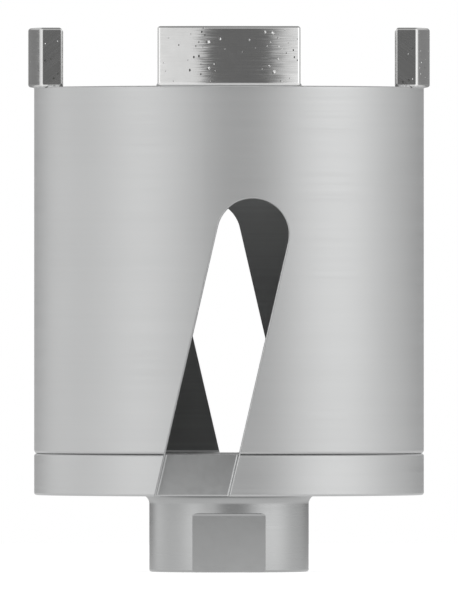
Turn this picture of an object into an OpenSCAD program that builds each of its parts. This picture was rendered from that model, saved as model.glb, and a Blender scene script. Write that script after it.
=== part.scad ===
// Dry diamond core bit for box holes: a thin steel barrel with two leaning slots,
// four diamond segments on its rim and a threaded hub with spanner flats.
// It stands on the hub's end, with its axis on Z. Millimetres.

/* [Cutting ring] */
// Diameter of the hole that the ring of segments cuts
cut_d = 68; // [60:1:110]
// How far the segments stand out past the barrel, outside
outer_clear = 1; // [0.7:0.1:1.5]
// How far the segments stand in past the barrel, inside
inner_clear = 0.5; // [0.3:0.1:1]
// Length of a segment, straight across
seg_len = 24; // [16:1:28]
// Height of a segment above the rim
seg_h = 10; // [7:0.5:12]
// Rounding of a segment's edges
seg_edge_r = 0.4; // [0.2:0.1:0.6]
// Size of the weld's concave fillet round a segment's foot
weld_r = 0.3; // [0.1:0.05:0.4]

/* [Barrel] */
// Wall of the barrel
barrel_wall = 2; // [1.5:0.1:3]
// Length of the barrel, from the flange to the rim
barrel_len = 62; // [56:1:90]
// Rounding of the barrel's rim
rim_r = 0.25; // [0.1:0.05:0.4]

/* [Slots] */
// Width of a slot
slot_w = 12; // [8:0.5:14]
// Lean of a slot from upright, in degrees
slot_lean = 13; // [0:1:20]
// Height of the slot's round end above the flange, to the centre of the round
slot_rise = 37; // [25:1:44]
// Sideways place of the round's centre
slot_side = 4; // [0:0.5:6]
// Distance from the axis to the flat floor that the slot leaves in the flange
slot_floor = 28; // [24:0.5:28]
// Rounding along the foot of the slot's walls in the flange
slot_foot_r = 0.35; // [0.1:0.05:0.6]

/* [Hub] */
// Height of the flange
flange_h = 7; // [5:0.5:12]
// Diameter of the boss
boss_d = 27; // [26:0.5:32]
// Height of the boss, from its end to the flange
boss_h = 13; // [11:0.5:20]
// Fillet between the boss and the flange
boss_fillet = 1.5; // [0.5:0.25:3]
// Spanner size across the two flats
flats_af = 24; // [22:0.5:25]
// Height of the flats from the boss's end
flats_h = 10; // [6:0.5:10.5]
// Fillet at the top of a flat
flats_fillet = 0.5; // [0.1:0.1:1]
// Rounding of the boss's end
boss_edge_r = 0.4; // [0.1:0.05:0.6]

/* [Thread] */
// Nominal diameter of the thread in the hub
thread_d = 16; // [12:1:18]
// Pitch of the thread
thread_pitch = 2; // [1:0.25:2]
// How far the mouths' bevels open past the nominal thread
mouth_over = 0.5; // [0.2:0.1:1]

/* [Joint] */
// Rounding of the barrel's lower edge, at the joint with the flange
joint_upper_r = 0.5; // [0.2:0.05:0.8]
// Size of the weld's fillet inside the barrel, on the flange
joint_root_r = 0.35; // [0.1:0.05:0.6]
// Rounding of the flange's upper and lower edges
flange_edge_r = 0.4; // [0.2:0.05:0.8]

/* [Hidden] */
$fn = 96;

// Heights up the axis
flange_z = boss_h;
barrel_z = flange_z + flange_h;
rim_z = barrel_z + barrel_len;
slot_z = barrel_z + slot_rise;

// Radii from the outside in
cut_r = cut_d / 2;
barrel_r = cut_r - outer_clear;
core_r = barrel_r - barrel_wall;
seg_in_r = core_r - inner_clear;
boss_r = boss_d / 2;

// A 60 degree thread's hole has 5/8 of the sharp thread's depth
thread_depth = 5 / 8 * thread_pitch * cos(30);
bore_r = thread_d / 2 - thread_depth;
mouth_r = thread_d / 2 + mouth_over;

// How far cutting shapes run past what they cut
past = 2;

steel = [0.67, 0.68, 0.69];
turned_steel = [0.62, 0.63, 0.64];
sintered = [0.52, 0.51, 0.5];

// A rectangle between two corners, with its own rounding at each corner
module soft_rect(low, high, low_in = 0, low_out = 0, high_out = 0, high_in = 0) {
    polygon([
        [low.x + low_in, low.y],
        [high.x - low_out, low.y],
        [high.x, low.y + low_out],
        [high.x, high.y - high_out],
        [high.x - high_out, high.y],
        [low.x + high_in, high.y],
        [low.x, high.y - high_in],
        [low.x, low.y + low_in]
    ]);
    if (low_in > 0) translate([low.x + low_in, low.y + low_in]) circle(r = low_in);
    if (low_out > 0) translate([high.x - low_out, low.y + low_out]) circle(r = low_out);
    if (high_out > 0) translate([high.x - high_out, high.y - high_out]) circle(r = high_out);
    if (high_in > 0) translate([low.x + high_in, high.y - high_in]) circle(r = high_in);
}

// What stays in a corner after a round of radius r, with the corner at 0,0 and open to +X and -Y
module corner_fill(r) {
    difference() {
        translate([-r, -r]) square([2 * r, 2 * r]);
        translate([r, -r]) circle(r = r);
        translate([r, -2 * r]) square([r, 3 * r]);
        translate([0, -3 * r]) square([2 * r, 2 * r]);
    }
}

module ring(inner, outer) {
    difference() {
        circle(r = outer);
        circle(r = inner);
    }
}

// Stands an outline up, so that its Y becomes the part's Z, and runs it from y_near out to y_far, on the -Y side
module upright(y_near, y_far) {
    translate([0, -y_near, 0])
        rotate([90, 0, 0])
            linear_extrude(y_far - y_near)
                children();
}

// Slots

// Outline of a slot of width w: a round end, and a straight run down past the flange
module slot_outline(w) {
    translate([slot_side, slot_z]) {
        circle(d = w);
        rotate(-slot_lean)
            translate([-w / 2, -slot_z])
                square([w, slot_z]);
    }
}

// The round foot of one slot wall, as a bar along the slot's lean
module slot_foot(side) {
    translate([slot_side, -slot_floor - slot_foot_r, slot_z])
        rotate([0, slot_lean, 0])
            translate([side * (slot_w / 2 - slot_foot_r), 0, -slot_z])
                cylinder(r = slot_foot_r, h = slot_z);
}

// Cuts the front slot through the barrel's wall and into the flange's rim
module slot_tool() {
    upright(slot_floor, cut_r + past)
        slot_outline(slot_w - 2 * slot_foot_r);
    upright(slot_floor + slot_foot_r, cut_r + past)
        slot_outline(slot_w);
    for (side = [-1, 1])
        slot_foot(side);
}

module both_slots() {
    for (turn = [0, 180])
        rotate([0, 0, turn])
            slot_tool();
}

// Welds

// The fillet under a segment's overhang, with the wall's corner at 0,0
module web() {
    intersection() {
        corner_fill(weld_r);
        translate([-weld_r, -weld_r]) square([2 * weld_r, weld_r]);
    }
}

// A fillet on a floor at the foot of a wall, with the foot at 0,0 and open to +X and +Y, and sunk into the floor
module toe(r, sunk = 0) {
    difference() {
        translate([0, -sunk]) square([r, r + sunk]);
        translate([r, r]) circle(r = r);
    }
}

// The weld round the foot of the front segment, which is part of the barrel
module weld() {
    intersection() {
        rotate_extrude() {
            translate([barrel_r, rim_z]) web();
            translate([core_r, rim_z]) mirror([1, 0]) web();
        }
        translate([-seg_len / 2, -cut_r, 0]) cube([seg_len, cut_r, rim_z + past]);
    }
    intersection() {
        upright(0, cut_r)
            for (side = [0, 1])
                mirror([side, 0])
                    translate([seg_len / 2, rim_z])
                        toe(weld_r, weld_r);
        translate([0, 0, barrel_z])
            linear_extrude(barrel_len + past)
                ring(core_r + rim_r, barrel_r - rim_r);
    }
}

// Barrel

module barrel() {
    color(steel) {
        difference() {
            rotate_extrude() {
                soft_rect([core_r, barrel_z], [barrel_r, rim_z],
                    low_out = joint_upper_r, high_out = rim_r, high_in = rim_r);
                translate([core_r, barrel_z]) mirror([1, 0]) toe(joint_root_r);
            }
            both_slots();
        }
        for (turn = [0 : 90 : 270])
            rotate([0, 0, turn])
                weld();
    }
}

// Hub

module hub_profile() {
    soft_rect([0, flange_z], [barrel_r, barrel_z],
        low_out = flange_edge_r, high_out = flange_edge_r);
    soft_rect([0, 0], [boss_r, flange_z + flange_h / 2], low_out = boss_edge_r);
    translate([boss_r, flange_z]) corner_fill(boss_fillet);
}

// Cuts the front spanner flat, with a fillet where it ends
module flat_tool() {
    translate([-boss_r - past, 0, 0])
        rotate([90, 0, 90])
            linear_extrude(2 * (boss_r + past))
                difference() {
                    translate([-boss_r - past, -past])
                        square([boss_r + past - flats_af / 2, flats_h + past]);
                    translate([-flats_af / 2, flats_h])
                        mirror([1, 0])
                            corner_fill(flats_fillet);
                }
}

// The threaded hole at its inner diameter, with a bevelled mouth at each end
module bore_tool() {
    bevel = mouth_r - bore_r;
    translate([0, 0, -past])
        cylinder(r = bore_r, h = barrel_z + 2 * past);
    translate([0, 0, -past])
        cylinder(r1 = mouth_r + past, r2 = bore_r, h = bevel + past);
    translate([0, 0, barrel_z - bevel])
        cylinder(r1 = bore_r, r2 = mouth_r + past, h = bevel + past);
}

module hub() {
    color(turned_steel)
        difference() {
            rotate_extrude()
                hub_profile();
            bore_tool();
            both_slots();
            for (turn = [0, 180])
                rotate([0, 0, turn])
                    flat_tool();
        }
}

// Segments

// Where a corner's round sits: its centre is r inside the end face, at the radius that touches the curved face
function corner_y(radius, r) = sqrt(radius * radius - pow(seg_len / 2 - r, 2));

// A wedge from the axis, towards -Y, whose sides pass through x, y and its mirror image
module wedge(x, y) {
    far = 2 * cut_r / norm([x, y]);
    polygon([[0, 0], [-far * x, -far * y], [far * x, -far * y]]);
}

// The segment from above: two curved faces, parallel ends and rounded corners
module segment_plan() {
    r = seg_edge_r;
    mid_r = (cut_r + seg_in_r) / 2;
    x = seg_len / 2 - r;
    y_out = corner_y(cut_r - r, r);
    y_in = corner_y(seg_in_r + r, r);
    intersection() {
        ring(mid_r, cut_r);
        wedge(x, y_out);
    }
    intersection() {
        ring(seg_in_r, mid_r);
        wedge(x, y_in);
    }
    intersection() {
        ring(seg_in_r, cut_r);
        translate([-seg_len / 2, -y_out]) square([seg_len, y_out - y_in]);
    }
    for (side = [-1, 1]) {
        translate([side * x, -y_out]) circle(r = r);
        translate([side * x, -y_in]) circle(r = r);
    }
}

// The front segment. The other three are copies turned about the axis
module segment() {
    r = seg_edge_r;
    top = rim_z + seg_h;
    intersection() {
        rotate_extrude()
            soft_rect([seg_in_r, rim_z], [cut_r, top], r, r, r, r);
        upright(0, cut_r + past)
            soft_rect([-seg_len / 2, rim_z], [seg_len / 2, top], high_out = r, high_in = r);
        translate([0, 0, rim_z - past])
            linear_extrude(seg_h + 2 * past)
                segment_plan();
    }
}

module segment_at(turn) {
    color(sintered)
        rotate([0, 0, turn])
            segment();
}

module segment_front() {
    segment_at(0);
}

module segment_right() {
    segment_at(90);
}

module segment_back() {
    segment_at(180);
}

module segment_left() {
    segment_at(270);
}

barrel();
hub();
segment_front();
segment_right();
segment_back();
segment_left();
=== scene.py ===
import math
import random

import bmesh
import bpy
from mathutils import Matrix, Vector


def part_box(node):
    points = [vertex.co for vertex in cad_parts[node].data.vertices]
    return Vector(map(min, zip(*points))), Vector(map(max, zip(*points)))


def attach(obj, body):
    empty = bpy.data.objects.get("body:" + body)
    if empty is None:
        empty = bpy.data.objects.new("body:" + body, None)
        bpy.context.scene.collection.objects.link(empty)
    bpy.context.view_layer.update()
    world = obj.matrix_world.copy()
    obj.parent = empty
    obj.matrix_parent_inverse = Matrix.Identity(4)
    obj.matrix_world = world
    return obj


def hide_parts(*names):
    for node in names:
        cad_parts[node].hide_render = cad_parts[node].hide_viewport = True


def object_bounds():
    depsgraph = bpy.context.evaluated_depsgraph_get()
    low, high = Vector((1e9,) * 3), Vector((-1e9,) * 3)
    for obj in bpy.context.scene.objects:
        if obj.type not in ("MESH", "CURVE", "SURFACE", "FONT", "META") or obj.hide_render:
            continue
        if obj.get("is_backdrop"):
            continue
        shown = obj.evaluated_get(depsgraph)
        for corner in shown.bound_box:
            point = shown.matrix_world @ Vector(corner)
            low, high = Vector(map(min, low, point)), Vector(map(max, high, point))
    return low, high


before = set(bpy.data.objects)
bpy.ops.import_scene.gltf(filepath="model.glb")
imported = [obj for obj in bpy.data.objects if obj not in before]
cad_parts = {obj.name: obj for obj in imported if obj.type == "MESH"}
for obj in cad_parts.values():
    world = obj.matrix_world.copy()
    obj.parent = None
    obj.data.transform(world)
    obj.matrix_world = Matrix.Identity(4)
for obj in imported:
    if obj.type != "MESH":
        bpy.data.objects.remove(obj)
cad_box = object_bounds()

MM = 0.001
tiny = 1e-6

# Places and sizes that the solids give
_, hub_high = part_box("hub")
seg_low, seg_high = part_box("segment_front")
flange_top = hub_high.z
rim = seg_low.z
top = seg_high.z
barrel_r = hub_high.x
cut_r = -seg_low.y
seg_len = seg_high.x - seg_low.x

# Barrel and joint
wall = 2 * MM
core_r = barrel_r - wall
rim_round = 0.3 * MM
joint_round = 0.6 * MM
root_size = 0.35 * MM

# Slots
slot_r = 6 * MM
slot_lean = math.radians(13)
slot_end = Vector((4 * MM, 0, flange_top + 37 * MM))
slot_floor = 28 * MM
slot_foot = 0.35 * MM
slot_edge = 0.3 * MM
slot_past = 6 * MM
slot_run = 60 * MM
slot_over = 5 * tiny

# Hub
flange_z = 13 * MM
flange_round = 0.4 * MM
boss_r = 13.5 * MM
boss_fillet = 1.5 * MM
boss_round = 0.4 * MM
flat_half = 12 * MM
flat_top = 10 * MM
flat_fillet = 0.5 * MM

# Thread, M16 by 2
pitch = 2 * MM
thread_r = 8 * MM
thread_depth = 5 / 8 * pitch * math.cos(math.radians(30))
bore_r = thread_r - thread_depth
mouth_over = 0.5 * MM
mouth_r = thread_r + mouth_over
bore_spare = 0.3 * MM

# Segments
inner_clear = 0.5 * MM
seg_in_r = core_r - inner_clear
seg_round = 0.48 * MM
end_round = 0.42 * MM
bar_over = math.radians(2)
seg_turns = {"segment_front": 0, "segment_right": 90, "segment_back": 180, "segment_left": 270}

# Welds round the segments' feet, with the profiles of a hollow and a full face
weld_size = 0.3 * MM
weld_sunk = 0.05 * MM
bead_size = 0.5 * MM
bead_sunk = 0.34 * MM
bead_sizes = (0.75, 1.15)
hollow_face = 0.12
full_face = 0.5
face_size = 0.94
weld_seed = 5

# How finely round forms are stepped
around = 360
slot_steps = 96
bar_steps = 96
thread_steps = 96
weld_steps = 48
bead_steps = 9
fillet_steps = 10
end_steps = 8
small_steps = 6
edge_steps = 5
rim_steps = 3
floor_steps = 128

# What is merged: points this near each other on a segment's cut end, edges shorter than this on the
# hub, and edges that turn less than this
near_points = 0.04 * MM
shortest_edge = 0.01 * MM
in_line = math.radians(1)

# Shading: edges over this angle are sharp, and normals this near the true one are set right
sharp = math.radians(22)
nearly = math.cos(math.radians(14))
even_weight = 80

# How near a wall a point counts as on it
wall_within = 0.004 * MM
inside_within = 0.02 * MM

# How much of an axis the normal has, on a face that lies square to it, and on an upright wall
exactly_square = 0.99999
square = 0.999
upright = 0.1

# How much of an axis the normal has on a segment's edges that get a painted highlight: on the upright ones
# under this much of the end's way and of the way up, and on the lower ones over this much of the way down
end_limit = 0.75
up_limit = 0.3
down_limit = 0.05

# Marks that worn grit leaves on a segment: chips with broken faces, and empty sockets
mark_margin = 0.7 * MM
mark_sizes = (0.1 * MM, 0.2 * MM)
mark_spacing = 1.1
mark_shake = 0.03 * MM
socket_share = 0.3
chip_stretch = (0.7, 1.25)
chip_lift = (0.3, 0.5)
socket_lift = 0.1
socket_width = (0.6, 0.8)
socket_height = (1, 1.4)
shaded_side = -0.35
mark_seed = 3
marks_outside = 26
marks_inside = 14
marks_on_end = 6
marks_on_top = 10

# The clearest marks on the front segment: pixel across and down in the photograph, and radius in mm
pixel = 0.1686 * MM
axis_pixel = 229
foot_pixel = 572.65
front_chips = (
    (208, 43, 0.42),
    (209, 69, 0.42),
    (273, 34, 0.4),
    (274, 73, 0.42),
    (281, 82, 0.4),
    (220, 40, 0.26),
    (265, 33, 0.26),
    (278, 39, 0.28),
    (270, 43, 0.28),
    (278, 47, 0.26),
    (278, 60, 0.26),
    (269, 67, 0.27),
    (249, 41, 0.23),
    (255, 49, 0.2),
    (285, 31, 0.24),
    (282, 50, 0.22),
    (210, 82, 0.22),
    (204, 29, 0.21),
    (214, 65, 0.19),
    (169, 39, 0.17),
    (164, 64, 0.17),
    (166, 72, 0.15),
    (174, 82, 0.15),
    (215, 72, 0.15),
    (267, 47, 0.14),
    (288, 44, 0.14),
    (262, 70, 0.12),
    (225, 50, 0.12),
    (242, 53, 0.11),
)
front_sockets = (
    (190, 71, 0.2),
    (194, 58, 0.2),
    (199, 57, 0.19),
    (201, 75, 0.18),
    (202, 33, 0.16),
    (294, 58, 0.17),
    (293, 51, 0.16),
    (297, 61, 0.14),
    (196, 47, 0.13),
    (205, 36, 0.13),
    (199, 43, 0.13),
    (201, 65, 0.12),
    (179, 46, 0.12),
    (286, 54, 0.12),
    (191, 35, 0.1),
    (203, 48, 0.1),
    (297, 40, 0.1),
    (289, 79, 0.09),
    (188, 61, 0.08),
)


# Materials

# Most of a noise pattern lies between these values
pattern_low = 0.25
pattern_middle = 0.5
pattern_high = 0.75

# How closely turning lines follow one another on a face square to the axis, against a wall's
lines_on_faces = 0.83

# How far a grey is from even: cool on milled steel, and warm on the segments' small faces
cast = 0.005

# Turned steel: how far patches swing its brightness, how far broad lines do as a part of what fine
# lines do, how much its gloss is drawn out across the lines, and the part of the fillet darkened by
# painted shade
patch_swing = 0.012
broad_part = 0.6
drawn_out = 0.35
shaded_part = 0.6


def node(tree, kind, inputs=None, **settings):
    """Adds a node to a tree. An input is given as a value, or as the socket that feeds it."""
    made = tree.nodes.new(kind)
    for key, value in settings.items():
        setattr(made, key, value)
    for key, value in (inputs or {}).items():
        if isinstance(value, bpy.types.NodeSocket):
            tree.links.new(value, made.inputs[key])
        else:
            made.inputs[key].default_value = value
    return made


def maths(tree, operation, first, second=0.0):
    inputs = {0: first, 1: second}
    return node(tree, "ShaderNodeMath", inputs, operation=operation).outputs[0]


def remap(tree, value, low, high, to_low, to_high):
    inputs = {"Value": value, "From Min": low, "From Max": high, "To Min": to_low, "To Max": to_high}
    return node(tree, "ShaderNodeMapRange", inputs).outputs[0]


def blend(tree, factor, first, second):
    """The first number, or the second as far as the factor says."""
    inputs = {0: factor, 2: first, 3: second}
    return node(tree, "ShaderNodeMix", inputs, data_type="FLOAT").outputs[0]


def noise(tree, vector, detail):
    inputs = {"Vector": vector, "Scale": 1.0, "Detail": detail}
    return node(tree, "ShaderNodeTexNoise", inputs).outputs[0]


def new_material(name, metallic=1.0):
    """A material with its node tree and shader, still bare."""
    material = bpy.data.materials.new(name)
    material.use_nodes = True
    tree = material.node_tree
    shader = tree.nodes["Principled BSDF"]
    shader.inputs["Metallic"].default_value = metallic
    return material, tree, shader


def object_place(tree):
    return node(tree, "ShaderNodeTexCoord").outputs["Object"]


def object_parts(tree):
    """The object's x, y and z."""
    return node(tree, "ShaderNodeSeparateXYZ", {0: object_place(tree)}).outputs


def distance_out(tree, x, y):
    """How far x, y lies from the axis."""
    squares = [maths(tree, "MULTIPLY", part, part) for part in (x, y)]
    return maths(tree, "SQRT", maths(tree, "ADD", *squares))


def turning_lines(tree, round_scale, line_scale, detail=2.0):
    """Noise drawn out into lines that run round the axis, on walls and on faces alike.

    Scales are per metre, round the axis and across the lines."""
    x, y, z = object_parts(tree)
    on_face = maths(tree, "MULTIPLY", distance_out(tree, x, y), lines_on_faces)
    across = maths(tree, "ADD", z, on_face)
    parts = {
        0: maths(tree, "MULTIPLY", x, round_scale),
        1: maths(tree, "MULTIPLY", y, round_scale),
        2: maths(tree, "MULTIPLY", across, line_scale),
    }
    return noise(tree, node(tree, "ShaderNodeCombineXYZ", parts).outputs[0], detail)


def clouds(tree, scale, detail=2.0):
    """Soft patches, with their scale per metre."""
    mapped = node(tree, "ShaderNodeMapping", {"Vector": object_place(tree), "Scale": (scale,) * 3})
    return noise(tree, mapped.outputs[0], detail)


def tint(tree, shader, colour, *swings):
    """Sets the base colour, made lighter and darker by each pair of a pattern and how far it swings."""
    factor = 1.0
    for pattern, swing in swings:
        step = remap(tree, pattern, pattern_low, pattern_high, 1 - swing, 1 + swing)
        factor = step if factor == 1.0 else maths(tree, "MULTIPLY", factor, step)
    mixed = node(tree, "ShaderNodeVectorMath", {0: colour, "Scale": factor}, operation="SCALE")
    tree.links.new(mixed.outputs[0], shader.inputs["Base Color"])


def roughen(tree, shader, low, high, pattern):
    """Sets the roughness, which swings from low to high with a pattern."""
    level = remap(tree, pattern, pattern_low, pattern_high, low, high)
    tree.links.new(level, shader.inputs["Roughness"])


def painted_shade_upwards(tree, start, end):
    """A pattern for tint, high up to the height start and low from the height end, for painted shade that
    darkens upwards.
    """
    return remap(tree, object_parts(tree)[2], start, end, pattern_high, pattern_low)


def bump(tree, shader, pattern, depth, strength=1.0):
    """Bumps the surface by a pattern, depth metres from its low to its high."""
    inputs = {"Height": pattern, "Distance": depth, "Strength": strength}
    if shader.inputs["Normal"].is_linked:
        inputs["Normal"] = shader.inputs["Normal"].links[0].from_socket
    made = node(tree, "ShaderNodeBump", inputs)
    tree.links.new(made.outputs[0], shader.inputs["Normal"])


def turned_steel(name, colour, low_rough, high_rough, line_swing, painted_shade=0):
    """Steel with fine lines that run round the axis, from brushing or turning.

    A swing of painted shade makes it darker at the top of the boss's fillet, under the flange."""
    material, tree, shader = new_material(name)
    fine = turning_lines(tree, round_scale=22, line_scale=7000)
    broad = turning_lines(tree, round_scale=9, line_scale=1400, detail=1.0)
    patches = clouds(tree, scale=60)
    swings = [(fine, line_swing), (broad, line_swing * broad_part), (patches, patch_swing)]
    # Painted shade at the top of the boss's fillet, under the flange
    if painted_shade:
        shade_start = flange_z - shaded_part * boss_fillet
        swings.append((painted_shade_upwards(tree, shade_start, flange_z), painted_shade))
    tint(tree, shader, colour, *swings)
    roughen(tree, shader, low_rough, high_rough, fine)
    bump(tree, shader, fine, depth=0.0008 * MM)
    shader.inputs["Anisotropic"].default_value = drawn_out
    tangent = node(tree, "ShaderNodeTangent", direction_type="RADIAL", axis="Z")
    tree.links.new(tangent.outputs[0], shader.inputs["Tangent"])
    return material


def milled_steel(name, grey, low_rough, high_rough, painted_shade=0):
    """Flats and pocket floors: even and a little mottled. A swing of painted shade makes them darker up
    the flange.
    """
    material, tree, shader = new_material(name)
    grain = clouds(tree, scale=900, detail=3.0)
    patches = clouds(tree, scale=160)
    # Painted shade, darker higher up the pocket; no change where its swing is nought
    shade_ramp = painted_shade_upwards(tree, flange_z, flange_top)
    colour = (grey, grey + cast, grey + cast)
    tint(tree, shader, colour, (grain, 0.02), (patches, 0.025), (shade_ramp, painted_shade))
    roughen(tree, shader, low_rough, high_rough, grain)
    bump(tree, shader, grain, depth=0.004 * MM, strength=0.4)
    return material


def painted_inner_shade():
    """The barrel's inside: a darker grey that paints the shade inside the tube, matt, a little cloudy."""
    material, tree, shader = new_material("painted_inner_shade", 0.6)
    patches = clouds(tree, scale=120, detail=3.0)
    lines = turning_lines(tree, round_scale=14, line_scale=2600)
    tint(tree, shader, (0.34, 0.345, 0.345), (patches, 0.08), (lines, 0.05))
    roughen(tree, shader, low=0.5, high=0.62, pattern=patches)
    return material


def ground_segment(name, streak=0):
    """Sintered metal, ground and polished: mirror-like, with fine streaks along its length."""
    material, tree, shader = new_material(name)
    fine = turning_lines(tree, round_scale=60, line_scale=9000, detail=3.0)
    patches = clouds(tree, scale=500)
    tint(tree, shader, (0.65, 0.65, 0.645), (fine, 0.03), (patches, 0.03))
    roughen(tree, shader, low=0.1, high=0.2, pattern=fine)
    bump(tree, shader, fine, depth=0.0006 * MM)
    bump(tree, shader, patches, depth=0.01 * MM, strength=0.5)
    if streak:
        streaks = turning_lines(tree, round_scale=300, line_scale=6500, detail=3.0)
        lean_sideways(tree, shader, streaks, streak)
    return material


def grainy_metal(name, grey, swing, low_rough, high_rough):
    """Metal with a fine grain, for small faces."""
    material, tree, shader = new_material(name)
    grain = clouds(tree, scale=4000)
    tint(tree, shader, (grey, grey, grey - cast), (grain, swing))
    roughen(tree, shader, low_rough, high_rough, grain)
    return material


def lean_sideways(tree, shader, pattern, amount):
    """Leans the surface left and right round the axis by a pattern, as grinding streaks do."""
    normal = shader.inputs["Normal"].links[0].from_socket
    vectors = "ShaderNodeVectorMath"
    sideways = node(tree, vectors, {0: (0, 0, 1), 1: normal}, operation="CROSS_PRODUCT").outputs[0]
    swing = maths(tree, "MULTIPLY", maths(tree, "SUBTRACT", pattern, pattern_middle), 2 * amount)
    lean = node(tree, vectors, {0: sideways, "Scale": swing}, operation="SCALE").outputs[0]
    total = node(tree, vectors, {0: normal, 1: lean}, operation="ADD").outputs[0]
    unit = node(tree, vectors, {0: total}, operation="NORMALIZE").outputs[0]
    tree.links.new(unit, shader.inputs["Normal"])


def wear(obj, *materials):
    """Gives obj its materials; its faces take the first until others are set."""
    obj.data.materials.clear()
    for material in materials:
        obj.data.materials.append(material)
    for face in obj.data.polygons:
        face.material_index = 0


def finish_faces(obj, material, test):
    """Gives the faces that pass the test another of obj's materials."""
    index = obj.data.materials.find(material.name)
    for face in obj.data.polygons:
        if test(face):
            face.material_index = index


# Modelling steps

def alone(obj):
    """Makes obj the only selected object, and the active one."""
    bpy.ops.object.select_all(action="DESELECT")
    obj.select_set(True)
    bpy.context.view_layer.objects.active = obj


def open_edit(obj, kind):
    """Opens obj in edit mode, with nothing selected. kind is VERT, EDGE or FACE."""
    alone(obj)
    bpy.ops.object.mode_set(mode="EDIT")
    bpy.ops.mesh.select_mode(type=kind)
    bpy.ops.mesh.select_all(action="DESELECT")


def close_edit():
    bpy.ops.object.mode_set(mode="OBJECT")


def pick(obj, kind, test):
    """Selects the vertices, edges or faces of obj, open in edit mode, that pass the test."""
    mesh = bmesh.from_edit_mesh(obj.data)
    items = {"VERT": mesh.verts, "EDGE": mesh.edges, "FACE": mesh.faces}[kind]
    for item in items:
        if test(item):
            item.select_set(True)
    mesh.select_flush_mode()
    bmesh.update_edit_mesh(obj.data)


def name_it(name):
    """Names the object that was just added, and its mesh."""
    obj = bpy.context.object
    obj.name = name
    obj.data.name = name
    return obj


def place(obj):
    """Moves obj's place, turn and size into its mesh."""
    alone(obj)
    bpy.ops.object.transform_apply(location=True, rotation=True, scale=True)


def apply_all(obj):
    """Applies obj's modifiers."""
    alone(obj)
    for modifier in list(obj.modifiers):
        bpy.ops.object.modifier_apply(modifier=modifier.name)


def combine(obj, other, operation):
    """Applies a boolean to obj with the other piece, which then goes."""
    step = obj.modifiers.new("combine", "BOOLEAN")
    step.operation = operation
    step.solver = "EXACT"
    step.object = other
    apply_all(obj)
    bpy.data.objects.remove(other)


def cut(obj, tool):
    """Takes the tool's shape out of obj, and the tool away."""
    combine(obj, tool, "DIFFERENCE")


def fuse(obj, other):
    """Makes one body of obj and the other piece."""
    combine(obj, other, "UNION")


def copy_turned(obj, angle):
    """A copy of obj with its own mesh, turned about the axis."""
    alone(obj)
    bpy.ops.object.duplicate()
    copy = bpy.context.object
    copy.data.transform(Matrix.Rotation(angle, 4, "Z"))
    return copy


def join(first, *others):
    """Makes one object of several, and leaves their shells apart."""
    alone(first)
    for obj in others:
        obj.select_set(True)
    bpy.ops.object.join()
    return first


def close_shell():
    """Leaves edit mode with doubles merged and all faces turned outwards."""
    bpy.ops.mesh.select_all(action="SELECT")
    bpy.ops.mesh.remove_doubles(threshold=tiny)
    bpy.ops.mesh.normals_make_consistent(inside=False)
    close_edit()


def flat_plate(name, low_x, low_z, high_x, high_z):
    """A flat rectangle in the XZ plane: half of a turned section."""
    bpy.ops.mesh.primitive_plane_add(
        size=1,
        location=((low_x + high_x) / 2, 0, (low_z + high_z) / 2),
        rotation=(math.pi / 2, 0, 0),
    )
    plate = name_it(name)
    plate.scale = (high_x - low_x, high_z - low_z, 1)
    place(plate)
    return plate


def near(vertex, x, z):
    return abs(vertex.co.x - x) < tiny and abs(vertex.co.z - z) < tiny


def round_corner(plate, x, z, size, steps=edge_steps):
    """Rounds the corner of a plate at x, z."""
    open_edit(plate, "VERT")
    pick(plate, "VERT", lambda v: near(v, x, z))
    bpy.ops.mesh.bevel(offset=size, segments=steps, affect="VERTICES", clamp_overlap=False)
    close_edit()


def turn_round(plate):
    """Turns a plate's outline about the axis into a closed body."""
    open_edit(plate, "FACE")
    bpy.ops.mesh.select_all(action="SELECT")
    bpy.ops.mesh.dissolve_faces(use_verts=False)
    bpy.ops.mesh.delete(type="ONLY_FACE")
    bpy.ops.mesh.select_mode(type="EDGE")
    bpy.ops.mesh.select_all(action="SELECT")
    bpy.ops.mesh.spin(steps=around, angle=2 * math.pi, center=(0, 0, 0), axis=(0, 0, 1))
    close_shell()


def radius(co):
    return math.hypot(co.x, co.y)


def quarter_turn(steps):
    """Angles in equal steps, from nothing to a right angle."""
    return [math.pi / 2 * step / steps for step in range(steps + 1)]


# Slots

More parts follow.
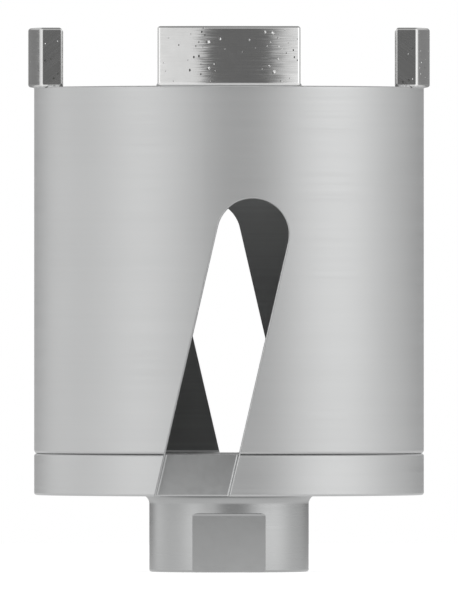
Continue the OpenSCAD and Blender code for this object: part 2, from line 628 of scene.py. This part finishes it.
def slot_tool():
    """A plug with a round end, leaning like the front slot, that reaches in to the slot's flat floor.

    Its foot is rounded, and it flares where it leaves the barrel, which rounds the slot's edges."""
    flare_r = barrel_r - slot_edge
    foot = []
    flare = []
    for turn in quarter_turn(edge_steps):
        full = 1 - math.sin(turn)
        rise = 1 - math.cos(turn)
        foot.append((slot_r - slot_foot * full, slot_floor + slot_foot * rise))
        flare.append((slot_r + slot_edge * rise, flare_r + (slot_edge + slot_over) * math.sin(turn)))
    outside = (slot_r + slot_edge + 2 * slot_over, barrel_r + slot_past)
    levels = foot + flare + [outside]
    bpy.ops.mesh.primitive_circle_add(
        vertices=slot_steps,
        radius=levels[0][0],
        fill_type="NGON",
        location=(0, -slot_floor, 0),
        rotation=(math.pi / 2, 0, 0),
    )
    tool = name_it("slot_tool")
    place(tool)
    open_edit(tool, "FACE")
    bpy.ops.mesh.select_all(action="SELECT")
    for (size, depth), (next_size, next_depth) in zip(levels, levels[1:]):
        bpy.ops.mesh.extrude_region_move(
            TRANSFORM_OT_translate={"value": (0, depth - next_depth, 0)}
        )
        grow = next_size / size
        bpy.ops.transform.resize(value=(grow, 1, grow), center_override=(0, 0, 0))
    bpy.ops.mesh.select_mode(type="VERT")
    bpy.ops.mesh.select_all(action="DESELECT")
    pick(tool, "VERT", lambda v: v.co.z < -tiny)
    bpy.ops.transform.translate(value=(0, 0, -slot_run))
    bpy.ops.mesh.select_all(action="SELECT")
    bpy.ops.mesh.normals_make_consistent(inside=False)
    close_edit()
    tool.rotation_euler = (0, slot_lean, 0)
    tool.location = (slot_end.x, 0, slot_end.z)
    place(tool)
    # The flare follows the barrel's curve
    for vertex in tool.data.vertices:
        depth = -vertex.co.y
        if flare_r - tiny < depth < barrel_r + MM:
            vertex.co.y = -math.sqrt(depth**2 - vertex.co.x**2)
    return tool


def cut_slots(obj):
    """Cuts the front slot and the back one, which is the same turned half round."""
    front = slot_tool()
    back = copy_turned(front, math.pi)
    cut(obj, front)
    cut(obj, back)


# Barrel

def build_barrel():
    """A turned tube with rounded rims, slotted front and back, with the segments' welds on its rim."""
    tube = flat_plate("barrel_tube", core_r, flange_top, barrel_r, rim)
    round_corner(tube, barrel_r, flange_top, joint_round)
    round_corner(tube, barrel_r, rim, rim_round, rim_steps)
    round_corner(tube, core_r, rim, rim_round, rim_steps)
    # The weld inside, in the corner on the flange
    open_edit(tube, "VERT")
    bpy.ops.mesh.select_all(action="SELECT")
    bpy.ops.mesh.bisect(plane_co=(0, 0, flange_top + root_size), plane_no=(0, 0, 1), threshold=tiny)
    bpy.ops.mesh.select_all(action="DESELECT")
    pick(tube, "VERT", lambda v: near(v, core_r, flange_top))
    bpy.ops.transform.translate(value=(-root_size, 0, 0))
    close_edit()
    turn_round(tube)
    cut_slots(tube)
    chance = random.Random(weld_seed)
    for turn in seg_turns.values():
        for weld in segment_welds(chance):
            weld.data.transform(Matrix.Rotation(math.radians(turn), 4, "Z"))
            fuse(tube, weld)
    return tube


def weld_section(root_x, root_z, side_x, side_z, size, profile):
    """The section of a small weld, with its square corner at the root and its face hollow or full."""
    far_x = root_x + side_x * size
    far_z = root_z + side_z * size
    plate = flat_plate(
        "weld", min(root_x, far_x), min(root_z, far_z), max(root_x, far_x), max(root_z, far_z)
    )
    open_edit(plate, "VERT")
    pick(plate, "VERT", lambda v: near(v, far_x, far_z))
    bpy.ops.mesh.bevel(
        offset=face_size * size,
        segments=small_steps,
        profile=profile,
        affect="VERTICES",
        clamp_overlap=False,
    )
    close_edit()
    return plate


def segment_welds(chance):
    """The welds round the front segment's foot: under its overhangs and at its two ends."""
    reach = math.asin((seg_len / 2 - seg_round) / (barrel_r + weld_size))
    welds = []
    for root_x, side_x in ((barrel_r - weld_sunk, 1), (core_r + weld_sunk, -1)):
        weld = weld_section(root_x, rim, side_x, -1, weld_size, hollow_face)
        weld.data.transform(Matrix.Rotation(-math.pi / 2 - reach, 4, "Z"))
        open_edit(weld, "FACE")
        bpy.ops.mesh.select_all(action="SELECT")
        bpy.ops.mesh.spin(steps=weld_steps, angle=-2 * reach, center=(0, 0, 0), axis=(0, 0, 1))
        close_shell()
        welds.append(weld)
    welds += [weld_bead(side, chance) for side in (-1, 1)]
    return welds


def weld_bead(side, chance):
    """An uneven bead of weld across the rim, in the corner at one end of the front segment."""
    half = seg_len / 2
    middle = half + bead_size - bead_sunk
    near_y = -math.sqrt(core_r**2 - middle**2) - rim_round / 2
    far_y = -math.sqrt(barrel_r**2 - middle**2) + rim_round / 2
    root = Vector((side * (half - bead_sunk), far_y, rim - weld_sunk))
    bead = weld_section(root.x, root.z, side, 1, bead_size, full_face)
    bead.data.transform(Matrix.Translation((0, far_y, 0)))
    open_edit(bead, "FACE")
    bpy.ops.mesh.select_all(action="SELECT")
    step = (near_y - far_y) / bead_steps
    size = 1
    for _ in range(bead_steps):
        root.y += step
        new_size = chance.uniform(*bead_sizes)
        bpy.ops.mesh.extrude_region_move(TRANSFORM_OT_translate={"value": (0, step, 0)})
        grow = new_size / size
        bpy.ops.transform.resize(value=(grow, 1, grow), center_override=root)
        size = new_size
    close_shell()
    return bead


# Hub

def build_hub():
    """The turned flange and boss, with slots, spanner flats and a threaded hole."""
    rough_bore = bore_r - bore_spare
    body = flat_plate("hub_body", rough_bore, 0, boss_r, flange_top)
    # The flange is drawn out of the boss's side
    open_edit(body, "VERT")
    bpy.ops.mesh.select_all(action="SELECT")
    bpy.ops.mesh.bisect(plane_co=(0, 0, flange_z), plane_no=(0, 0, 1), threshold=tiny)
    bpy.ops.mesh.select_all(action="DESELECT")
    bpy.ops.mesh.select_mode(type="EDGE")
    pick(body, "EDGE", lambda e: all(is_flange_side(v) for v in e.verts))
    bpy.ops.mesh.extrude_region_move(TRANSFORM_OT_translate={"value": (barrel_r - boss_r, 0, 0)})
    bpy.ops.mesh.select_all(action="SELECT")
    bpy.ops.mesh.dissolve_limited(angle_limit=in_line)
    close_edit()
    for z in (0, flange_top):
        round_corner(body, rough_bore, z, mouth_r - rough_bore, 1)
    for z in (flange_z, flange_top):
        round_corner(body, barrel_r, z, flange_round)
    round_corner(body, boss_r, 0, boss_round)
    round_corner(body, boss_r, flange_z, boss_fillet, fillet_steps)
    turn_round(body)
    cut_slots(body)
    round_pocket_feet(body)
    for side in (0, math.pi):
        cut(body, flat_tool(side))
    cut(body, thread_tap())
    return body


def is_flange_side(vertex):
    """True on the side of the boss's section, level with the flange."""
    return abs(vertex.co.x - boss_r) < tiny and vertex.co.z > flange_z - tiny


def is_pocket_foot(edge):
    """True on the sharp lower edge of a pocket's flat floor."""
    on_floor = all(abs(abs(v.co.y) - slot_floor) < tiny for v in edge.verts)
    below = all(abs(v.co.z - flange_z) < tiny for v in edge.verts)
    return on_floor and below and edge.calc_face_angle(0) > sharp


def round_pocket_feet(body):
    """Rounds the lower edges of the pockets' flat floors."""
    open_edit(body, "EDGE")
    pick(body, "EDGE", is_pocket_foot)
    bpy.ops.mesh.bevel(offset=slot_edge, segments=rim_steps, affect="EDGES", clamp_overlap=False)
    bpy.ops.mesh.select_all(action="SELECT")
    bpy.ops.mesh.dissolve_degenerate(threshold=shortest_edge)
    close_edit()


def is_flat_top(vertex):
    """True on the edge where a spanner flat ends."""
    return abs(vertex.co.y + flat_half) < tiny and abs(vertex.co.z - flat_top) < tiny


def flat_tool(side):
    """A block that cuts one spanner flat, with a fillet where the flat ends."""
    below = 2 * MM
    middle = (0, -flat_half - boss_r / 2, (flat_top - below) / 2)
    bpy.ops.mesh.primitive_cube_add(size=1, location=middle)
    tool = name_it("flat_tool")
    tool.scale = (3 * boss_r, boss_r, flat_top + below)
    place(tool)
    open_edit(tool, "EDGE")
    pick(tool, "EDGE", lambda e: all(is_flat_top(v) for v in e.verts))
    bpy.ops.mesh.bevel(offset=flat_fillet, segments=small_steps, affect="EDGES")
    close_edit()
    tool.data.transform(Matrix.Rotation(side, 4, "Z"))
    return tool


def thread_tap():
    """A tap for the hub's hole: the outline of one pitch, screwed up past both ends and closed."""
    root = pitch / 4
    crest = pitch / 8
    low = -2 * pitch
    tap = flat_plate("tap", bore_r, low + root, thread_r, low + pitch)
    middle = low + (root + pitch) / 2
    # The outer corners come together until they are a crest apart
    open_edit(tap, "VERT")
    bpy.ops.mesh.select_all(action="SELECT")
    bpy.ops.mesh.delete(type="ONLY_FACE")
    for side in (-1, 1):
        bpy.ops.mesh.select_all(action="DESELECT")
        pick(tap, "VERT", lambda v: near(v, thread_r, middle + side * (pitch - root) / 2))
        bpy.ops.transform.translate(value=(0, 0, side * (crest - pitch + root) / 2))
    # The side along the bore goes, and a flat leads on to the next turn
    bpy.ops.mesh.select_all(action="DESELECT")
    bpy.ops.mesh.select_mode(type="EDGE")
    pick(tap, "EDGE", lambda e: all(abs(v.co.x - bore_r) < tiny for v in e.verts))
    bpy.ops.mesh.delete(type="EDGE")
    bpy.ops.mesh.select_mode(type="VERT")
    bpy.ops.mesh.select_all(action="DESELECT")
    pick(tap, "VERT", lambda v: near(v, bore_r, low + root))
    bpy.ops.mesh.extrude_region_move(TRANSFORM_OT_translate={"value": (0, 0, -root)})
    close_edit()
    step = tap.modifiers.new("screw", "SCREW")
    step.screw_offset = pitch
    step.iterations = math.ceil((flange_top - low) / pitch) + 2
    step.steps = thread_steps
    step.render_steps = thread_steps
    step.use_merge_vertices = True
    step.merge_threshold = tiny
    apply_all(tap)
    open_edit(tap, "VERT")
    for z, upwards in ((-pitch / 2, -1), (flange_top + pitch / 2, 1)):
        trim(Vector((0, 0, z)), Vector((0, 0, upwards)))
    close_shell()
    return tap


def trim(point, out):
    """Cuts the open mesh off at a plane through a point, and closes the cut."""
    bpy.ops.mesh.select_all(action="SELECT")
    bpy.ops.mesh.bisect(
        plane_co=point, plane_no=out, use_fill=True, clear_outer=True, threshold=tiny
    )


# Segments

def build_segment():
    """The front segment: a turned bar with rounded edges and parallel flat ends."""
    start = seg_len / 2 - end_round
    reach = math.asin(start / seg_in_r) + bar_over
    bar = flat_plate("segment_bar", seg_in_r, rim, cut_r, top)
    for x in (seg_in_r, cut_r):
        for z in (rim, top):
            round_corner(bar, x, z, seg_round, end_steps)
    bar.data.transform(Matrix.Rotation(-math.pi / 2 - reach, 4, "Z"))
    open_edit(bar, "FACE")
    bpy.ops.mesh.select_all(action="SELECT")
    bpy.ops.mesh.spin(steps=bar_steps, angle=-2 * reach, center=(0, 0, 0), axis=(0, 0, 1))
    bpy.ops.mesh.select_all(action="SELECT")
    bpy.ops.mesh.remove_doubles(threshold=tiny)
    for side in (-1, 1):
        trim(Vector((side * start, 0, 0)), Vector((side, 0, 0)))
    close_shell()
    for side in (-1, 1):
        round_end(bar, side)
    return bar


def round_end(bar, side):
    """Carries one cut end of the bar on to its full length, and rounds it."""
    start = seg_len / 2 - end_round
    # For each step out, the ring that the bar is part of falls back by this much
    middle_r = (cut_r + seg_in_r) / 2
    fall_back = start / math.sqrt(middle_r**2 - start**2)

    def is_cut(face):
        return side * face.calc_center_median().x > start - tiny and side * face.normal.x > square

    open_edit(bar, "VERT")
    pick(bar, "VERT", lambda v: abs(side * v.co.x - start) < tiny)
    bpy.ops.mesh.remove_doubles(threshold=near_points)
    bpy.ops.mesh.select_mode(type="FACE")
    bpy.ops.mesh.select_all(action="DESELECT")
    pick(bar, "FACE", is_cut)
    turns = quarter_turn(end_steps)
    for turn, next_turn in zip(turns, turns[1:]):
        out = end_round * (math.sin(next_turn) - math.sin(turn))
        inwards = end_round * (math.cos(turn) - math.cos(next_turn))
        bpy.ops.mesh.inset(thickness=inwards, depth=out)
        bpy.ops.transform.translate(value=(0, fall_back * out, 0))
    close_edit()


def clear_places():
    """The front segment's clearest marks: each one's point, way out, size, and whether it is a socket."""
    for marks, is_socket in ((front_chips, False), (front_sockets, True)):
        for across, down, size in marks:
            x = (across - axis_pixel) * pixel
            out = Vector((x, -math.sqrt(cut_r**2 - x**2), 0)).normalized()
            height = Vector((0, 0, (foot_pixel - down) * pixel))
            yield out * cut_r + height, out, size * MM, is_socket


def random_places(chance, on_outside):
    """Random points on all but the foot of the front segment, each with its way out."""
    half = seg_len / 2
    reach = math.asin((half - mark_margin) / cut_r)
    heights = (rim + mark_margin, top - mark_margin)
    depths = (seg_in_r + mark_margin, cut_r - mark_margin)
    for wall_r, way, count in ((cut_r, 1, on_outside), (seg_in_r, -1, marks_inside)):
        for _ in range(count):
            turn = chance.uniform(-reach, reach)
            out = Vector((math.sin(turn), -math.cos(turn), 0))
            height = Vector((0, 0, chance.uniform(*heights)))
            yield out * wall_r + height, out * way
    for side in (-1, 1):
        out = Vector((side, 0, 0))
        for _ in range(marks_on_end):
            y = -math.sqrt(chance.uniform(*depths) ** 2 - half**2)
            yield Vector((side * half, y, chance.uniform(*heights))), out
    for _ in range(marks_on_top):
        turn = chance.uniform(-reach, reach)
        away = chance.uniform(*depths)
        out = Vector((0, 0, 1))
        yield Vector((away * math.sin(turn), -away * math.cos(turn), top)), out


def mark_tool(point, out, size, is_socket, chance):
    """One ball that cuts a mark: a shallow one with wide faces for a chip, a deep tall one for a socket.

    A chip's faces turned to one side get painted shade, and the rest are bright grit, partly a painted
    highlight; a socket gets painted shade all over."""
    lift = socket_lift if is_socket else chance.uniform(*chip_lift)
    bpy.ops.mesh.primitive_ico_sphere_add(
        subdivisions=2 if is_socket else 1,
        radius=size,
        location=point + out * size * lift,
    )
    tool = name_it("mark")
    if is_socket:
        tool.scale = (chance.uniform(*socket_width), 1, chance.uniform(*socket_height))
    else:
        tool.scale = [chance.uniform(*chip_stretch) for _ in range(3)]
        tool.rotation_euler = [chance.uniform(0, math.pi) for _ in range(3)]
    turned_by = tool.rotation_euler.to_matrix()
    sideways = Vector((0, 0, 1)).cross(out)

    # Painted shade: a chip's faces turned to one side, and all of a socket
    def is_shaded_side(face):
        return is_socket or (turned_by @ face.normal).dot(sideways) < shaded_side

    wear(tool, *segment_materials)
    finish_faces(tool, grit_and_highlight, lambda f: True)
    finish_faces(tool, socket_shade, is_shaded_side)
    return tool


def stands_clear(point, size, kept):
    """True where a mark keeps its distance from the marks that are kept."""
    for other, other_size in kept:
        if (point - other).length <= mark_spacing * (size + other_size):
            return False
    return True


def mark_segment(bar, seed, in_view):
    """Cuts the marks of worn grit into a segment that still stands at the front.

    The one in view has its outside marks where the photograph shows them."""
    chance = random.Random(seed)
    places = list(clear_places()) if in_view else []
    for point, out in random_places(chance, 0 if in_view else marks_outside):
        places.append((point, out, chance.uniform(*mark_sizes), chance.random() < socket_share))
    kept = []
    tools = []
    for point, out, size, is_socket in places:
        if stands_clear(point, size, kept):
            kept.append((point, size))
            tools.append(mark_tool(point, out, size, is_socket, chance))
    tool = join(*tools)
    place(tool)
    open_edit(tool, "VERT")
    bpy.ops.mesh.select_all(action="SELECT")
    bpy.ops.transform.vertex_random(offset=mark_shake, seed=seed)
    close_edit()
    cut(bar, tool)


# Faces and shading

def on_wall(co, radii):
    """True on a wall that is turned about the axis with one of the radii."""
    return any(abs(radius(co) - wall_r) < wall_within for wall_r in radii)


def is_inner_wall(face):
    """True on the barrel's inner wall."""
    return radius(face.center) < core_r + inside_within and abs(face.normal.z) < upright


def is_bright_edge(face):
    """True on the rounding of the front segment's upright edges and of its lower edges, which get a
    painted highlight.
    """
    at_end = abs(face.center.x) > seg_len / 2 - end_round + tiny
    if at_end and abs(face.normal.x) < end_limit and face.normal.z < up_limit:
        return True
    return -square < face.normal.z < -down_limit


def faces_out(face, depth):
    """True on a flat face that looks to the front or the back, at that depth."""
    return abs(abs(face.center.y) - depth) < tiny and abs(face.normal.y) > square


def flat_ways(mesh):
    """For each vertex, the normals of the faces there that lie square to an axis."""
    ways = {}
    for face in mesh.polygons:
        if max(abs(part) for part in face.normal) > exactly_square:
            for index in face.vertices:
                ways.setdefault(index, []).append(Vector(round(part) for part in face.normal))
    return ways


def smooth(obj, radii):
    """Smooth shading, with exact normals on flat faces and on walls that are turned about the axis."""
    alone(obj)
    bpy.ops.object.shade_smooth_by_angle(angle=sharp)
    step = obj.modifiers.new("even shading", "WEIGHTED_NORMAL")
    step.keep_sharp = True
    step.weight = even_weight
    apply_all(obj)
    mesh = obj.data
    ways = flat_ways(mesh)
    normals = [Vector(corner.vector) for corner in mesh.corner_normals]
    for index, loop in enumerate(mesh.loops):
        co = mesh.vertices[loop.vertex_index].co
        if on_wall(co, radii):
            out = Vector((co.x, co.y, 0)).normalized()
            exact = [out, -out]
        else:
            exact = ways.get(loop.vertex_index, [])
        for way in exact:
            if normals[index].dot(way) > nearly:
                normals[index] = way
    mesh.normals_split_custom_set(normals)


# Pieces

brushed = turned_steel(
    "brushed_barrel",
    colour=(0.64, 0.645, 0.645),
    low_rough=0.4,
    high_rough=0.5,
    line_swing=0.01,
)
flange = turned_steel(
    "turned_flange",
    colour=(0.632, 0.637, 0.637),
    low_rough=0.36,
    high_rough=0.46,
    line_swing=0.012,
)
# The boss's darker grey and its darker fillet top are painted shade under the flange, on the same turned
# steel as the flange
boss = turned_steel(
    "shaded_turned_boss",
    colour=(0.45, 0.455, 0.455),
    low_rough=0.26,
    high_rough=0.34,
    line_swing=0.012,
    painted_shade=0.12,
)
flat = milled_steel("milled_flat", grey=0.525, low_rough=0.4, high_rough=0.5)
# The pocket floors' darker grey and their darkening upwards are painted shade in the recess
pocket = milled_steel("shaded_milled_pocket", grey=0.49, low_rough=0.36, high_rough=0.46, painted_shade=0.1)
# The barrel's inside is painted shade
inner_shade = painted_inner_shade()
ground = ground_segment("ground_segment")
streaked = ground_segment("streaked_segment", streak=0.08)
# The grit's near-white is partly its own light colour and partly a painted highlight; the socket's dark
# grey is painted shade in the marks
grit_and_highlight = grainy_metal("grit_and_highlight", grey=0.93, swing=0.05, low_rough=0.2, high_rough=0.35)
socket_shade = grainy_metal("socket_shade", grey=0.2, swing=0.2, low_rough=0.45, high_rough=0.6)
# A painted highlight on the segments' rounded edges
edge_highlight = grainy_metal("edge_highlight", grey=0.85, swing=0.03, low_rough=0.12, high_rough=0.2)
segment_materials = (ground, streaked, grit_and_highlight, socket_shade, edge_highlight)

barrel_tube = build_barrel()
wear(barrel_tube, brushed, inner_shade)
finish_faces(barrel_tube, inner_shade, is_inner_wall)
smooth(barrel_tube, (barrel_r, core_r))

hub_body = build_hub()
wear(hub_body, flange, boss, flat, pocket)
finish_faces(hub_body, boss, lambda f: f.center.z < flange_z - tiny)
finish_faces(hub_body, flat, lambda f: faces_out(f, flat_half))
finish_faces(hub_body, pocket, lambda f: faces_out(f, slot_floor))
smooth(hub_body, (barrel_r, boss_r))

plain_segment = build_segment()
wear(plain_segment, *segment_materials)
finish_faces(plain_segment, streaked, lambda f: on_wall(f.center, (cut_r, seg_in_r)))
finish_faces(plain_segment, edge_highlight, is_bright_edge)
segments = {}
for seed, (node_name, turn) in enumerate(seg_turns.items()):
    bar = copy_turned(plain_segment, 0)
    mark_segment(bar, mark_seed + seed, in_view=turn == 0)
    bar.data.transform(Matrix.Rotation(math.radians(turn), 4, "Z"))
    bar.name = node_name.replace("segment", "cutter")
    bar.data.name = bar.name
    smooth(bar, (cut_r, seg_in_r))
    segments[node_name] = bar
bpy.data.objects.remove(plain_segment)

pieces = {"barrel": (barrel_tube, "barrel_steel"), "hub": (hub_body, "hub_steel")}
for node_name, bar in segments.items():
    pieces[node_name] = (bar, "segment_metal")
for node_name, (piece, slot) in pieces.items():
    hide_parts(node_name)
    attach(piece, "root")


# Stage, camera and light

# The room round the object: brightness by compass angle from the viewer, to the right, in degrees
room = (
    (-180, 0.25),
    (-143, 0.25),
    (-125, 1.15),
    (-100, 0.75),
    (-75, 0.80),
    (-50, 1.50),
    (-40, 1.02),
    (-17.5, 0.97),
    (-11.5, 0.17),
    (22, 0.17),
    (34, 0.90),
    (50, 1.40),
    (75, 1.40),
    (100, 0.70),
    (125, 0.60),
    (143, 0.28),
)

# Up from the horizon the room is filled with light to a least level, and then comes the ceiling. Down
# from it comes the ground. Each starts and ends at a height on a ball round the object.
fill_light = 0.68
fill_heights = (0.05, 0.25)
ceiling = 0.32
ceiling_heights = (0.55, 0.9)
ground_light = 0.4
ground_heights = (-0.3, -0.6)

# The floor's own colour, the light that it adds to what the camera sees, and its brightness in the
# steel: near the object one level, and further off that level mixed with a share of the room
white = (1, 1, 1, 1)
floor_r = 0.4
floor_colour = (0.8, 0.8, 0.8, 1)
floor_seen = 0.68
floor_mirrored = 0.78
floor_like_room = 0.3
near_r = 1.4 * barrel_r
far_r = 2.4 * barrel_r


def light_round(tree, x, y):
    """The room's brightness in the way x, y. A ramp's colours end at 1, so it holds shares of the peak."""
    angle = maths(tree, "ARCTAN2", x, maths(tree, "MULTIPLY", y, -1.0))
    share = remap(tree, angle, -math.pi, math.pi, 0, 1)
    ramp = node(tree, "ShaderNodeValToRGB", {"Fac": share})
    stops = ramp.color_ramp.elements
    peak = max(level for _, level in room)
    for number, (degrees, level) in enumerate((*room, (180, room[0][1]))):
        position = (degrees + 180) / 360
        stop = stops[number] if number < 2 else stops.new(position)
        stop.position = position
        stop.color = (level / peak,) * 3 + (1,)
    return maths(tree, "MULTIPLY", ramp.outputs[0], peak)


def build_floor():
    """A round white floor that keeps the shadow.

    Steel mirrors it pale near by, and further off with a share of the room's pattern."""
    bpy.ops.mesh.primitive_circle_add(vertices=floor_steps, radius=floor_r, fill_type="NGON")
    floor = name_it("floor")
    material = bpy.data.materials.new("white_floor")
    material.use_nodes = True
    tree = material.node_tree
    tree.nodes.clear()
    rays = node(tree, "ShaderNodeLightPath").outputs
    x, y, _ = object_parts(tree)
    far_off = remap(tree, distance_out(tree, x, y), near_r, far_r, 0, 1)
    far_light = blend(tree, floor_like_room, floor_mirrored, light_round(tree, x, y))
    mirrored = blend(tree, far_off, floor_mirrored, far_light)
    matt = node(tree, "ShaderNodeBsdfDiffuse", {"Color": floor_colour}).outputs[0]
    seen = maths(tree, "MULTIPLY", rays["Is Camera Ray"], floor_seen)
    lift = node(tree, "ShaderNodeEmission", {"Color": white, "Strength": seen}).outputs[0]
    plain = node(tree, "ShaderNodeAddShader", {0: matt, 1: lift}).outputs[0]
    mirror = node(tree, "ShaderNodeEmission", {"Color": white, "Strength": mirrored}).outputs[0]
    in_steel = maths(tree, "MAXIMUM", rays["Is Glossy Ray"], rays["Is Transmission Ray"])
    both = node(tree, "ShaderNodeMixShader", {0: in_steel, 1: plain, 2: mirror}).outputs[0]
    node(tree, "ShaderNodeOutputMaterial", {"Surface": both})
    floor.data.materials.append(material)
    floor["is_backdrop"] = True


def build_room():
    """White to the camera, and to all else a studio with lit panels, and gaps in front and behind."""
    world = bpy.data.worlds.new("studio")
    bpy.context.scene.world = world
    world.use_nodes = True
    tree = world.node_tree
    tree.nodes.clear()
    way = node(tree, "ShaderNodeTexCoord").outputs["Generated"]
    x, y, z = node(tree, "ShaderNodeSeparateXYZ", {0: way}).outputs
    level = light_round(tree, x, y)
    filled = maths(tree, "MAXIMUM", level, fill_light)
    changes = ((fill_heights, filled), (ceiling_heights, ceiling), (ground_heights, ground_light))
    for (start, end), value in changes:
        inputs = {"Value": z, "From Min": start, "From Max": end}
        step = node(tree, "ShaderNodeMapRange", inputs, interpolation_type="SMOOTHSTEP").outputs[0]
        level = blend(tree, step, level, value)
    rays = node(tree, "ShaderNodeLightPath").outputs
    level = blend(tree, rays["Is Camera Ray"], level, 1.0)
    light = node(tree, "ShaderNodeBackground", {"Color": white, "Strength": level}).outputs[0]
    node(tree, "ShaderNodeOutputWorld", {"Surface": light})


build_floor()
build_room()

# The photograph's frame is 458 by 600, and its long side takes in this height
frame_high = 101.16 * MM
view_centre = Vector((0, -17 * MM, 46 * MM))
view_far = 3.6
sensor = 36
clip_end = 20
camera_data = bpy.data.cameras.new("camera")
camera_data.sensor_width = sensor
camera_data.lens = sensor * view_far / frame_high
camera_data.clip_end = clip_end
camera = bpy.data.objects.new("camera", camera_data)
bpy.context.scene.collection.objects.link(camera)
camera.location = view_centre + Vector((0, -view_far, 0))
camera.rotation_euler = (math.pi / 2, 0, 0)
bpy.context.scene.camera = camera

bpy.context.scene.view_settings.view_transform = "Standard"

boxes = {"cad": cad_box, "visual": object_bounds()}
{key: [list(corner) for corner in box] for key, box in boxes.items()}
